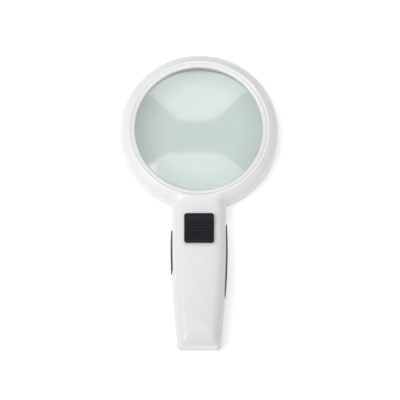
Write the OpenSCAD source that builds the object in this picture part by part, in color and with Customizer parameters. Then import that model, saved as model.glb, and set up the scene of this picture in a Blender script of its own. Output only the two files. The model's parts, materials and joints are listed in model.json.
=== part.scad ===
// Hand-held illuminated low vision magnifier.
// It lies on its back: +Z is the lens axis, +Y points from the handle to the lens,
// and the origin is the bottom centre of the whole object.

/* [Lens] */
// Diameter of the lens blank
lens_d = 100; // [98:1:102]
// Thickness of the lens at its edge
lens_edge_t = 3; // [2.5:0.5:3]
// Radius of both curved faces of the lens
lens_curve_r = 282; // [260:1:320]

/* [Rim] */
// Radial distance from the lens edge to the outside of the rim
rim_w = 9.5; // [9.5:0.5:11]
// Thickness of the rim and handle, front to back
body_t = 22; // [22:0.5:24]
// Radial width of the retaining ring's visible face
bezel_w = 3.5; // [3:0.25:4]
// Radius of the rounded front edge all round
front_edge_r = 8; // [7:0.5:8.5]
// Radius of the rounded back edge all round
back_edge_r = 2; // [1.5:0.25:2.5]

/* [Handle] */
// Width of the handle at its widest point
handle_w = 41.5; // [41:0.5:44]
// Distance from the lens axis to the end of the handle
handle_reach = 166.5; // [165:0.5:172]
// Distance from the lens axis to the handle's widest point
widest_reach = 86.3; // [82:0.1:90]
// Radius of the long curve along each side of the handle
side_arc_r = 682; // [640:1:900]
// Radius of the two corners at the handle's end, seen from the front
end_corner_r = 4.5; // [4:0.25:6]
// Radius of the front edge at the handle's end
end_edge_r = 5; // [4:0.25:6]

/* [Shells] */
// Wall thickness of the shells
wall = 2; // [1.9:0.1:2.1]
// Height of the seam between front and back shells
seam_z = 8; // [7.8:0.1:8.2]
// Gap between parts that meet at a seam
seam_gap = 0.15; // [0.1:0.05:0.2]

/* [Switch] */
// Width of the thumb pad
pad_w = 22.2; // [20:0.1:23]
// Length of the thumb pad along the handle
pad_l = 22.4; // [20:0.1:23]
// Height of the thumb pad above the handle
pad_h = 3.1; // [2.8:0.1:3.6]
// Distance from the lens axis to the thumb pad's centre, switched off
pad_reach = 78; // [77:0.5:79]
// Travel of the switch towards the lens
travel = 4; // [3:0.5:4]
// Number of thumb ribs
rib_count = 6; // [4:1:7]

/* [Grips] */
// Length of the left-hand grip
left_grip_l = 34; // [28:1:38]
// Length of the right-hand grip
right_grip_l = 57; // [50:1:60]
// Height of each side grip, from near the seam up onto the rounded front edge
grip_h = 8.5; // [8:0.25:9]
// How far the grips stand proud of the handle
grip_proud = 0.5; // [0.4:0.05:0.8]

/* [Lighting] */
// Number of lamps in the rim
led_count = 12; // [6, 12]

/* [Hidden] */
// Standard AA cell
cell_d = 14.5;
cell_l = 50.5;
nub_l = 1;

ring_r = lens_d / 2 + rim_w;
ring_y = (handle_reach + ring_r) / 2 - ring_r;
aperture_r = lens_d / 2 - 2.4;
bezel_r = aperture_r + bezel_w;
rebate_r = bezel_r + 0.4;

// Heights of the lens and of what holds it
ledge_z = body_t - 6.6;
ledge_t = 1.5;
gasket_t = 0.5;
gasket_in_r = lens_d / 2 - 1.6;
lens_low_z = ledge_z + gasket_t + face_rise(gasket_in_r);
lens_high_z = lens_low_z + lens_edge_t;
bezel_foot_z = lens_high_z + 0.6;
rebate_z = body_t - 1.8;
tube_in_r = lens_d / 2 - 1.8;
tube_out_r = tube_in_r + 1.6;
well_r = lens_d / 2 + 0.2;
well_wall_r = well_r + 2;

// Screws and their bosses
boss_r = 3;
post_r = 2.9;
post_top_z = body_t - 4.5;
head_r = 1.9;
head_h = 1.4;
shank_r = 1;
sink_depth = 2.1;
ring_screw_r = ring_r - 4.3;
ring_screw_angles = [30, 90, 150];
neck_screw_x = 15.2;
neck_screw_y = -70;
tail_screw_y = -(handle_reach - 10.5);
tail_plate_z = 7.6;
tail_plate_t = 1.4;

// Lamp ring
led_r = 2.4;
led_h = 4.9;
led_ring_r = lens_d / 2 + 3.8;
led_board_z = 6.2;
board_t = 1.2;

// Battery bay, from the neck to the handle's end
bay_top_y = -92;
plate_t = 0.4;
spring_l = 4.9;
bay_end_y = bay_top_y - 2 * plate_t - spring_l - cell_l;
bay_rib_t = 1.5;
cell_x = cell_d / 2 + 0.35;
cell_z = body_t - 11.8;
tray_floor_z = body_t - 4;
tray_floor_t = 1.4;
tray_wall_x = 15.2;
tray_wall_t = 1.4;
tray_wall_end_y = -140;

// Sliding battery cover
cover_y = bay_top_y - seam_gap;
rail_start_y = -98;
rail_l = 34;
rail_x = 12.9;
rail_web_t = 1;
rail_foot_w = 1.1;
rail_foot_z = 4;
lip_z = 2.4;
tongue_w = 12;
tongue_z = 2.15;
tongue_t = 0.75;

// Driver board under the switch
driver_z = 12.4;
driver_w = 23;
driver_low_y = -89.6;
driver_high_y = -66;
switch_h = 3.6;
neck_w = 6.8;
neck_l = 4.8;
knob_top_z = body_t - 2.4;
left_grip_y = -94;
right_grip_y = -101;
big = 400;

// How far the lens's curved face stands out at a radius, beyond its edge
function face_rise(r) = sqrt(lens_curve_r ^ 2 - r ^ 2) - sqrt(lens_curve_r ^ 2 - lens_d ^ 2 / 4);

// Half the handle's width at a place along it
function half_width(y) = handle_w / 2 - (y + widest_reach) * (y + widest_reach) / (2 * side_arc_r);

// ---------- outlines ----------

module corner_cut(r) {
    difference() {
        square(r + 1);
        circle(r = r, $fn = 96);
    }
}

// A rectangle whose right-hand corners are rounded
module rounded_section(x0, x1, z0, z1, r_low, r_high) {
    difference() {
        translate([x0, z0])
            square([x1 - x0, z1 - z0]);
        translate([x1 - r_high, z1 - r_high])
            corner_cut(r_high);
        if (r_low > 0)
            translate([x1 - r_low, z0 + r_low])
                mirror([0, 1])
                    corner_cut(r_low);
    }
}

// ---------- the whole outside, shrunk by an inset on every side ----------

module ring_solid(inset) {
    rotate_extrude($fn = 180)
        rounded_section(
            0, ring_r - inset, inset, body_t - inset,
            max(back_edge_r - inset, 0), front_edge_r - inset
        );
}

// Everything inside the handle's right-hand side surface
module handle_side(inset) {
    arc_side(side_arc_r, handle_w / 2, -widest_reach, inset);
}

// The handle's section swept along an arc that is widest, at widest_x, at widest_y
module arc_side(arc_r, widest_x, widest_y, inset) {
    pivot_x = widest_x - arc_r;
    translate([pivot_x, widest_y, 0])
        rotate_extrude(start = -8, angle = 12, $fn = 2880)
            translate([-pivot_x, 0])
                rounded_section(
                    -handle_w / 2 - 1, widest_x - inset, inset, body_t - inset,
                    max(back_edge_r - inset, 0), front_edge_r - inset
                );
}

// The corners run a little past the end face, so that only handle_end_side makes that face
module handle_end_plan(inset) {
    overrun = 0.3;
    r = end_corner_r - inset / 2;
    corner_y = -(handle_reach + overrun - inset - r);
    corner_x = half_width(corner_y) - inset - r;
    translate([-big / 2, corner_y])
        square([big, big]);
    translate([-corner_x, corner_y - r])
        square([2 * corner_x, 2 * r]);
    for (side = [-1, 1])
        translate([side * corner_x, corner_y])
            circle(r = r, $fn = 96);
}

module handle_end_side(inset) {
    rotate([90, 0, -90])
        linear_extrude(big / 2, center = true)
            rounded_section(
                -big / 2, handle_reach - inset, inset, body_t - inset,
                max(back_edge_r - inset, 0), end_edge_r - inset
            );
}

module handle_solid(inset) {
    intersection() {
        handle_side(inset);
        mirror([1, 0, 0])
            handle_side(inset);
        translate([0, 0, -1])
            linear_extrude(body_t + 2)
                handle_end_plan(inset);
        handle_end_side(inset);
    }
}

module body_solid(inset) {
    ring_solid(inset);
    handle_solid(inset);
}

// The hollow inside the shells, without the tube and well that hold the lens
module cavity() {
    difference() {
        body_solid(wall);
        cylinder(r = tube_out_r, h = ledge_z - ledge_t, $fn = 180);
        translate([0, 0, ledge_z - ledge_t])
            cylinder(r = well_wall_r, h = big, $fn = 180);
    }
}

// ---------- shared shapes ----------

module at_ring_screws() {
    for (a = ring_screw_angles)
        rotate([0, 0, a])
            translate([ring_screw_r, 0, 0])
                children();
}

module at_neck_screws() {
    for (side = [-1, 1])
        translate([side * neck_screw_x, neck_screw_y, 0])
            children();
}

module at_leds() {
    for (i = [0 : led_count - 1])
        rotate([0, 0, (i + 0.5) * 360 / led_count])
            translate([led_ring_r, 0, 0])
                children();
}

module box(x, y, z) {
    translate([x[0], y[0], z[0]])
        cube([x[1] - x[0], y[1] - y[0], z[1] - z[0]]);
}

// The stadium outline of a side grip, grown by a margin, run through the right-hand wall
module grip_prism(length, middle_y, margin) {
    h = grip_h + 2 * margin;
    run = (length - grip_h) / 2;
    translate([handle_w / 2 - 4, middle_y, seam_z + 0.9 + grip_h / 2])
        rotate([90, 0, 90])
            linear_extrude(8) {
                square([2 * run, h], center = true);
                for (side = [-1, 1])
                    translate([side * run, 0])
                        circle(r = h / 2, $fn = 48);
            }
}

// A round tube along a list of points; ref is never parallel to the path
module tube(path, r, ref, sides = 8) {
    last = len(path) - 1;
    function unit(v) = v / norm(v);
    function ring(i) =
        let (
            t = unit(path[min(i + 1, last)] - path[max(i - 1, 0)]),
            u = unit(cross(t, ref)),
            v = cross(t, u)
        )
        [for (k = [0 : sides - 1]) path[i] + r * (cos(360 * k / sides) * u + sin(360 * k / sides) * v)];
    points = [for (i = [0 : last]) each ring(i)];
    walls = [
        for (i = [0 : last - 1], k = [0 : sides - 1])
            let (n = (k + 1) % sides)
            [i * sides + k, (i + 1) * sides + k, (i + 1) * sides + n, i * sides + n]
    ];
    start_cap = [for (k = [0 : sides - 1]) k];
    end_cap = [for (k = [sides - 1 : -1 : 0]) last * sides + k];
    polyhedron(points, concat(walls, [start_cap, end_cap]));
}

// Points along a cubic curve
function curve(a, b, c, d, steps = 10) = [
    for (i = [0 : steps])
        let (t = i / steps, s = 1 - t)
        s * s * s * a + 3 * s * s * t * b + 3 * s * t * t * c + t * t * t * d
];

// ---------- shells ----------

module front_shell() {
    color("whitesmoke") {
        difference() {
            intersection() {
                body_solid(0);
                box([-big, big], [-big, big], [seam_z + seam_gap, big]);
            }
            cavity();
            cylinder(r = tube_in_r, h = big, $fn = 180);
            translate([0, 0, ledge_z])
                cylinder(r = well_r, h = big, $fn = 180);
            translate([0, 0, rebate_z])
                cylinder(r = rebate_r, h = big, $fn = 180);
            box(
                [-neck_w / 2 - 0.4, neck_w / 2 + 0.4],
                [-pad_reach - neck_l / 2 - 0.4, -pad_reach + travel + neck_l / 2 + 0.4],
                [body_t - wall - 1, body_t + 1]
            );
            grip_pocket(right_grip_l, right_grip_y);
            mirror([1, 0, 0])
                grip_pocket(left_grip_l, left_grip_y);
        }
        difference() {
            union() {
                at_ring_screws() post();
                at_neck_screws() post();
                translate([0, tail_screw_y, tail_plate_z + tail_plate_t])
                    cylinder(r = post_r, h = body_t - wall / 2 - tail_plate_z - tail_plate_t, $fn = 48);
            }
            at_ring_screws() pilot();
            at_neck_screws() pilot();
            translate([0, tail_screw_y, seam_z])
                cylinder(r = shank_r + 0.05, h = 9, $fn = 32);
        }
        board_pins();
    }
}

// The post's foot sits a little above the shell's edge, and its outer side runs into the rim's wall
module post() {
    foot_z = seam_z + seam_gap + 0.05;
    translate([0, 0, foot_z])
        cylinder(r = post_r, h = post_top_z - foot_z, $fn = 48);
}

module pilot() {
    cylinder(r = shank_r + 0.05, h = 15, $fn = 32);
}

// Four pins under the front face that the driver board is glued to
module board_pins() {
    for (x = [-9.5, 9.5], y = [driver_low_y + 2.6, driver_high_y - 2.6])
        translate([x, y, driver_z + board_t])
            cylinder(r = 1.2, h = body_t - wall / 2 - driver_z - board_t, $fn = 32);
}

module back_shell() {
    color("whitesmoke")
        difference() {
            union() {
                difference() {
                    intersection() {
                        body_solid(0);
                        box([-big, big], [bay_top_y, big], [-1, seam_z]);
                    }
                    cavity();
                }
                at_ring_screws() boss();
                at_neck_screws() boss();
                board_rests();
                battery_tray();
            }
            translate([0, 0, -1])
                cylinder(r = tube_in_r, h = big, $fn = 180);
            at_leds() led_hole();
            at_ring_screws() screw_hole();
            at_neck_screws() screw_hole();
            translate([0, tail_screw_y, tail_plate_z - 1])
                cylinder(r = shank_r + 0.15, h = tail_plate_t + 2, $fn = 32);
            box(
                [-tongue_w / 2 - 0.3, tongue_w / 2 + 0.3],
                [bay_top_y - 1, bay_top_y + bay_rib_t + 1],
                [wall, tongue_z + tongue_t + 0.3]
            );
        }
}

module boss() {
    translate([0, 0, wall / 2])
        cylinder(r = boss_r, h = seam_z - wall / 2, $fn = 48);
}

module led_hole() {
    translate([0, 0, -1])
        cylinder(r = led_r + 0.3, h = wall + 2, $fn = 48);
    translate([0, 0, -0.01])
        cylinder(r1 = led_r + 1, r2 = led_r + 0.3, h = 0.9, $fn = 48);
}

module screw_hole() {
    translate([0, 0, -1])
        cylinder(r = shank_r + 0.15, h = seam_z + 2, $fn = 32);
    translate([0, 0, -1])
        cylinder(r = head_r + 0.3, h = sink_depth + 1, $fn = 48);
}

// Small posts that the lamp board rests on
module board_rests() {
    for (a = [0 : 60 : 300])
        rotate([0, 0, a])
            translate([led_ring_r, 0, wall / 2])
                cylinder(r = 1, h = led_board_z - wall / 2, $fn = 32);
}

// Open tray for the two cells, with the ledges that hold the cover's rails
module battery_tray() {
    rib_y = [bay_top_y, bay_top_y + bay_rib_t];
    end_y = [bay_end_y - bay_rib_t, bay_end_y];
    difference() {
        box([-16.2, 16.2], rib_y, [wall / 2, tray_floor_z + tray_floor_t / 2]);
        for (side = [-1, 1])
            box(
                [side * cell_x - 1.5, side * cell_x + 1.5],
                [rib_y[0] - 1, rib_y[1] + 1],
                [cell_z + 4.9, cell_z + 6.3]
            );
    }
    intersection() {
        body_solid(wall + 0.25);
        union() {
            box([-16.6, 16.6], [end_y[0], rib_y[0] + 0.5], [tray_floor_z, tray_floor_z + tray_floor_t]);
            box([-16, 16], end_y, [rail_foot_z + rail_web_t + 0.6, tray_floor_z + 0.5]);
            box([-6, 6], [tail_screw_y - 4, end_y[1]], [tail_plate_z, tail_plate_z + tail_plate_t]);
            for (side = [0, 1])
                mirror([side, 0, 0]) {
                    box([tray_wall_x, tray_wall_x + tray_wall_t], [tray_wall_end_y, rib_y[0] + 0.5],
                        [seam_z, tray_floor_z + 0.5]);
                    box([tray_wall_x, tray_wall_x + tray_wall_t], [rail_start_y - rail_l, rail_start_y],
                        [lip_z, seam_z + 0.5]);
                    box([rail_x + rail_web_t + 0.2, tray_wall_x + 0.5], [rail_start_y - rail_l, rail_start_y],
                        [lip_z, rail_foot_z - 0.2]);
                }
        }
    }
}

module battery_cover() {
    color("whitesmoke") {
        difference() {
            intersection() {
                body_solid(0);
                box([-big, big], [-big, cover_y], [-1, seam_z]);
            }
            body_solid(wall);
            // thumb ribs for pushing the cover off
            for (i = [0 : 5])
                translate([0, cover_y - 7 - 2.2 * i, -0.3])
                    rotate([0, 90, 0])
                        cylinder(r = 0.9, h = 16, center = true, $fn = 32);
        }
        box([-tongue_w / 2, tongue_w / 2], [cover_y - 4, cover_y + 3.6], [tongue_z, tongue_z + tongue_t]);
        box([-tongue_w / 2, tongue_w / 2], [cover_y - 4, cover_y - 0.5], [wall / 2, tongue_z + 0.5]);
        for (side = [0, 1])
            mirror([side, 0, 0]) {
                box([rail_x, rail_x + rail_web_t], [rail_start_y - rail_l, rail_start_y],
                    [wall / 2, rail_foot_z + rail_web_t]);
                box([rail_x, rail_x + rail_web_t + rail_foot_w], [rail_start_y - rail_l, rail_start_y],
                    [rail_foot_z, rail_foot_z + rail_web_t]);
            }
    }
}

// ---------- lens and what holds it ----------

module lens_section() {
    drop = sqrt(lens_curve_r * lens_curve_r - lens_d * lens_d / 4);
    intersection() {
        translate([0, lens_high_z - drop])
            circle(r = lens_curve_r, $fn = 2400);
        translate([0, lens_low_z + drop])
            circle(r = lens_curve_r, $fn = 2400);
        square([lens_d / 2, big]);
    }
}

module lens() {
    color("paleturquoise", 0.5)
        rotate_extrude($fn = 180)
            lens_section();
}

module lens_gasket() {
    color("dimgray")
        rotate_extrude($fn = 180)
            translate([gasket_in_r, ledge_z])
                square([lens_d / 2 - gasket_in_r, gasket_t]);
}

module bezel_ring() {
    edge_r = 0.9;
    color("white")
        rotate_extrude($fn = 180)
            difference() {
                union() {
                    translate([aperture_r, rebate_z + 0.1])
                        square([bezel_w, body_t - rebate_z - 0.1]);
                    translate([aperture_r, bezel_foot_z])
                        square([well_r - 0.2 - aperture_r, body_t - bezel_foot_z - 0.5]);
                }
                translate([bezel_r - edge_r, body_t - edge_r])
                    corner_cut(edge_r);
                translate([aperture_r + edge_r, body_t - edge_r])
                    mirror([1, 0])
                        corner_cut(edge_r);
            }
}

// ---------- lighting ----------

module led_board() {
    color("darkgreen")
        translate([0, 0, led_board_z])
            difference() {
                union() {
                    cylinder(r = ring_r - wall - 0.5, h = board_t, $fn = 180);
                    box([-6, 6], [-ring_r - 1, -led_ring_r], [0, board_t]);
                }
                translate([0, 0, -1])
                    cylinder(r = tube_out_r + 0.8, h = board_t + 2, $fn = 180);
                at_ring_screws()
                    translate([0, 0, -1])
                        cylinder(r = boss_r + 0.2, h = board_t + 2, $fn = 48);
                at_ring_screws()
                    box([0, 10], [-boss_r - 0.2, boss_r + 0.2], [-1, board_t + 1]);
            }
}

module leds() {
    color("lightyellow")
        at_leds()
            translate([0, 0, led_board_z])
                mirror([0, 0, 1])
                    rotate_extrude($fn = 48)
                        led_section();
}

module led_section() {
    dome_r = led_r + 0.9;
    square([led_r + 0.35, 0.8]);
    square([led_r, led_h - 1.2]);
    intersection() {
        square([led_r, led_h]);
        translate([0, led_h - dome_r])
            circle(r = dome_r, $fn = 96);
    }
}

module driver_board() {
    color("darkgreen")
        box([-driver_w / 2, driver_w / 2], [driver_low_y, driver_high_y], [driver_z, driver_z + board_t]);
}

module driver_chip() {
    color("black")
        box([3, 7], [-80, -75], [driver_z - 1.5, driver_z]);
}

module inductor() {
    color("gray")
        translate([-5, -84, driver_z - 3])
            cylinder(r = 2.6, h = 3, $fn = 48);
}

module resistors() {
    color("dimgray")
        for (i = [0 : 2])
            box([-8, -4.8], [-77 + 3 * i, -75.4 + 3 * i], [driver_z - 0.6, driver_z]);
}

// ---------- switch ----------

module switch_body() {
    mid_y = -pad_reach + travel / 2;
    top_z = driver_z + board_t + switch_h;
    color("silver")
        difference() {
            box([-3, 3], [mid_y - 7, mid_y + 7], [driver_z + board_t, top_z]);
            box([-1.3, 1.3], [mid_y - travel / 2 - 2.2, mid_y + travel / 2 + 2.2], [top_z - 1.6, top_z + 1]);
        }
}

module switch_actuator() {
    base_z = driver_z + board_t + switch_h - 1.5;
    color("ivory")
        translate([0, -pad_reach, 0]) {
            box([-1.1, 1.1], [-1.8, 1.8], [base_z, base_z + 1.3]);
            box([-0.9, 0.9], [-1.1, 1.1], [base_z + 1, knob_top_z]);
        }
}

module switch_button() {
    top_z = body_t + pad_h;
    band_l = 6;
    dish_l = pad_l - band_l - 1.6;
    dish_y = -band_l / 2 + 0.8;
    dish_depth = 1;
    dish_r = (dish_l * dish_l / 4 + dish_depth * dish_depth) / (2 * dish_depth);
    rib_pitch = dish_l / rib_count;
    color("#202124")
        translate([0, -pad_reach, 0])
            difference() {
                union() {
                    difference() {
                        translate([0, 0, body_t + 0.12])
                            linear_extrude(pad_h - 0.12)
                                pad_outline();
                        translate([0, dish_y, top_z - dish_depth + dish_r])
                            rotate([0, 90, 0])
                                cylinder(r = dish_r, h = pad_w + 2, center = true, $fn = 360);
                    }
                    for (i = [0 : rib_count - 1]) {
                        y = (i + 0.5) * rib_pitch - dish_l / 2;
                        dish_rise = dish_r - sqrt(dish_r * dish_r - y * y);
                        translate([0, dish_y + y, top_z - dish_depth + dish_rise])
                            rotate([0, 90, 0])
                                cylinder(r = 0.55, h = pad_w - 3, center = true, $fn = 32);
                    }
                    box(
                        [-neck_w / 2, neck_w / 2],
                        [-neck_l / 2, neck_l / 2],
                        [body_t - wall - 1, body_t + 1]
                    );
                    box([-5.6, 5.6], [-3.6, 3.6], [body_t - wall - 1.2, body_t - wall - 0.25]);
                }
                box([-1.05, 1.05], [-1.25, 1.25], [body_t - wall - 2, knob_top_z + 0.6]);
            }
}

module pad_outline() {
    r = 2;
    square([pad_w - 2 * r, pad_l], center = true);
    square([pad_w, pad_l - 2 * r], center = true);
    for (x = [-1, 1], y = [-1, 1])
        translate([x * (pad_w / 2 - r), y * (pad_l / 2 - r)])
            circle(r = r, $fn = 48);
}

// ---------- wires ----------

module led_lead(x) {
    tube(
        curve(
            [x, driver_high_y + 3, driver_z - 0.6], [x, driver_high_y + 8, driver_z - 0.6],
            [x, -ring_r - 1, led_board_z + 4], [x, -ring_r + 2, led_board_z + board_t + 0.6]
        ),
        0.6, [1, 0, 0]
    );
}

module led_lead_red() {
    color("red") led_lead(-3);
}

module led_lead_black() {
    color("black") led_lead(3);
}

module battery_lead(side) {
    x = side * cell_x;
    start_y = bay_top_y + 3.1;
    tube(
        curve(
            [x, start_y, cell_z + 5.8], [x, start_y + 2, cell_z + 5.8],
            [x, start_y + 2.9, driver_z + board_t + 2.6], [x, start_y + 4.9, driver_z + board_t + 0.6]
        ),
        0.6, [1, 0, 0]
    );
}

module battery_lead_red() {
    color("red") battery_lead(-1);
}

module battery_lead_black() {
    color("black") battery_lead(1);
}

// ---------- cells and contacts ----------

module cell(nub_up) {
    flip = nub_up ? 0 : 1;
    translate([0, 0, cell_z])
        mirror([0, flip, 0])
            rotate([90, 0, 0]) {
                translate([0, 0, nub_l])
                    cylinder(r = cell_d / 2, h = cell_l - nub_l, $fn = 96);
                cylinder(r = 2.75, h = nub_l + 1, $fn = 48);
            }
}

module cell_left() {
    color("goldenrod")
        translate([-cell_x, bay_top_y - plate_t, 0])
            cell(true);
}

module cell_right() {
    color("goldenrod")
        translate([cell_x, bay_end_y + plate_t, 0])
            cell(false);
}

module contact_plate(side) {
    x = side * cell_x;
    box([x - 5, x + 5], [bay_top_y - plate_t, bay_top_y], [cell_z - 4.5, cell_z + 6]);
    box([x - 1, x + 1], [bay_top_y - plate_t, bay_top_y + 3], [cell_z + 5.6, cell_z + 6]);
}

module contact_plus() {
    color("silver") contact_plate(-1);
}

module contact_minus() {
    color("silver") contact_plate(1);
}

module contact_bridge() {
    color("silver")
        box([-cell_x - 5, cell_x + 5], [bay_end_y, bay_end_y + plate_t], [cell_z - 4, cell_z + 5]);
}

// Cone-shaped coil from a plate at y = 0 to a cell at y = length
module contact_spring(length) {
    turns = 3.5;
    steps = 12 * turns;
    wire_r = 0.35;
    tube(
        [
            for (i = [0 : steps])
                let (t = i / steps, r = 4 - 1.6 * t)
                [
                    r * cos(360 * turns * t), wire_r + (length - 2 * wire_r) * t,
                    r * sin(360 * turns * t)
                ]
        ],
        wire_r, [0, 1, 0], 6
    );
}

module contact_springs() {
    color("silver") {
        translate([-cell_x, bay_end_y + plate_t, cell_z])
            contact_spring(spring_l);
        translate([cell_x, bay_top_y - plate_t, cell_z])
            rotate([0, 0, 180])
                contact_spring(spring_l);
    }
}

// ---------- screws ----------

// A pan-head screw, head down, its head starting at z = 0
module screw(shank_l) {
    difference() {
        union() {
            cylinder(r = head_r, h = head_h, $fn = 48);
            cylinder(r = shank_r, h = head_h + shank_l, $fn = 32);
        }
        for (a = [0, 90])
            rotate([0, 0, a])
                translate([0, 0, 0.3])
                    cube([2.4, 0.6, 0.8], center = true);
    }
}

module shell_screws() {
    color("darkgray") {
        at_ring_screws() translate([0, 0, sink_depth - head_h]) screw(11);
        at_neck_screws() translate([0, 0, sink_depth - head_h]) screw(11);
        translate([0, tail_screw_y, tail_plate_z - head_h]) screw(8);
    }
}

// ---------- grips ----------

// The recess that a grip on the right-hand side is glued into
module grip_pocket(length, middle_y) {
    difference() {
        grip_prism(length, middle_y, 0.1);
        handle_side(1);
    }
}

// A grip on the right-hand side: its outer face follows an arc a little rounder than the handle's
module grip(length, middle_y) {
    bulge_r = 420;
    bulge_y = -91;
    difference() {
        intersection() {
            grip_prism(length, middle_y, 0);
            arc_side(bulge_r, half_width(bulge_y) + grip_proud, bulge_y, 0);
        }
        handle_side(0.95);
    }
}

module grip_right() {
    color("#2b2d30")
        grip(right_grip_l, right_grip_y);
}

module grip_left() {
    color("#2b2d30")
        mirror([1, 0, 0])
            grip(left_grip_l, left_grip_y);
}

// ---------- assembly ----------

// All pieces are drawn about the lens axis, then moved so that the object is centred
module placed() {
    translate([0, ring_y, 0])
        children();
}

placed() front_shell();
placed() back_shell();
placed() battery_cover();
placed() bezel_ring();
placed() lens();
placed() lens_gasket();
placed() led_board();
placed() leds();
placed() driver_board();
placed() driver_chip();
placed() inductor();
placed() resistors();
placed() switch_body();
placed() switch_actuator();
placed() switch_button();
placed() led_lead_red();
placed() led_lead_black();
placed() battery_lead_red();
placed() battery_lead_black();
placed() cell_left();
placed() cell_right();
placed() contact_plus();
placed() contact_minus();
placed() contact_bridge();
placed() contact_springs();
placed() shell_screws();
placed() grip_left();
placed() grip_right();
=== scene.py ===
"""Looks of a hand-held illuminated magnifier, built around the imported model.

Shapes are worked out in millimetres about the lens axis (+Y away from the handle, +Z towards the
reader), then placed in the model's own frame in metres.
"""
import json
import math

import bmesh
import bpy
import numpy as np
from mathutils import Matrix, Vector
from mathutils.geometry import delaunay_2d_cdt


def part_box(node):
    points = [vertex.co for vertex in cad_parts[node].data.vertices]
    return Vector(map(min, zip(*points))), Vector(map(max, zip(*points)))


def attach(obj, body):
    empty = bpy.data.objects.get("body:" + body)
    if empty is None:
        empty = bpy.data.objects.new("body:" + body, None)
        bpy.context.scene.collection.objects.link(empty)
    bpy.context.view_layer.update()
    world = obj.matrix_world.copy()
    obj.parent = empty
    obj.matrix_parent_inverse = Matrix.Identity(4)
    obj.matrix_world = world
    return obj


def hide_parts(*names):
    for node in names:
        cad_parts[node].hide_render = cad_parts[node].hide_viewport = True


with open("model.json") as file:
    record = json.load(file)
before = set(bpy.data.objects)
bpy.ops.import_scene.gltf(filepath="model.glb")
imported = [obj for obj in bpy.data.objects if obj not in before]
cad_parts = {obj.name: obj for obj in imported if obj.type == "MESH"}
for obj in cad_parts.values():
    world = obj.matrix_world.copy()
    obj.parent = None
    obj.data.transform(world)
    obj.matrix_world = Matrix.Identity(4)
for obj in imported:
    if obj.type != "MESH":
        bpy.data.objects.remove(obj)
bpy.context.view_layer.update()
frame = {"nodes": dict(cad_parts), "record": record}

MM = 0.001

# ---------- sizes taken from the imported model, in millimetres ----------


def box_mm(node):
    """Lowest and highest corners of a CAD node, in millimetres."""
    low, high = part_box(node)
    return np.array(low) / MM, np.array(high) / MM


shell_low, shell_high = box_mm("front_shell")
lens_low, lens_high = box_mm("lens")
bezel_low, bezel_high = box_mm("bezel_ring")
button_low, button_high = box_mm("switch_button")

AXIS_Y = (lens_low[1] + lens_high[1]) / 2
RING_R = shell_high[0]
BODY_T = shell_high[2]
SEAM_Z = shell_low[2]
HANDLE_REACH = AXIS_Y - shell_low[1]
LENS_R = lens_high[0]
BEZEL_R = bezel_high[0]

# ---------- sizes repeated from the part's design, in millimetres ----------

WALL = 2.0
FRONT_EDGE_R = 8.0
END_EDGE_R = 5.0
HALF_WIDTH = 20.75
WIDEST_REACH = 86.3
SIDE_ARC_R = 682.0
END_CORNER_R = 4.5
APERTURE_R = LENS_R - 2.4
GRIP_ARC_R = 420.0
GRIP_WIDEST_REACH = 91.0
GRIP_PROUD = 0.5
REBATE_R = BEZEL_R + 0.1
REBATE_Z = BODY_T - 1.8
LEDGE_Z = BODY_T - 6.6
LEDGE_T = 1.5
WELL_R = LENS_R + 0.2
WELL_WALL_R = WELL_R + 2.0
TUBE_IN_R = LENS_R - 1.8
TUBE_OUT_R = TUBE_IN_R + 1.6
PAD_UNDER_Z = BODY_T + 0.12
LENS_CURVE_R = 282.0
PAD_REACH = 78.0
TRAVEL = 4.0
SLOT_HALF_W = 3.8
SLOT_MARGIN = 2.8
SCREW_POST_R = 2.9
SCREW_PLACES = [(55.2 * math.cos(a), 55.2 * math.sin(a)) for a in map(math.radians, (30, 90, 150))]
SCREW_PLACES += [(-15.2, -70.0), (15.2, -70.0)]

# ---------- sizes that only the looks need, in millimetres ----------

NECK_FILLET_R = 1.8
FACE_CROWN = 1.5
CROWN_WIDTH = 20.0
LIP_WIDTH = 2.8
LIP_DROP = 0.6
LIP_SHOULDER = 1.2
SEAM_EDGE_R = 0.3
FACE_CORNER_LESS = 3.0
FACE_POINT_GAP = 2.2
SLOT_CORNER_R = 0.6
TUBE_EDGE = 0.3
SCREW_POST_DEPTH = 4.5


# ---------- mesh making ----------


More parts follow.
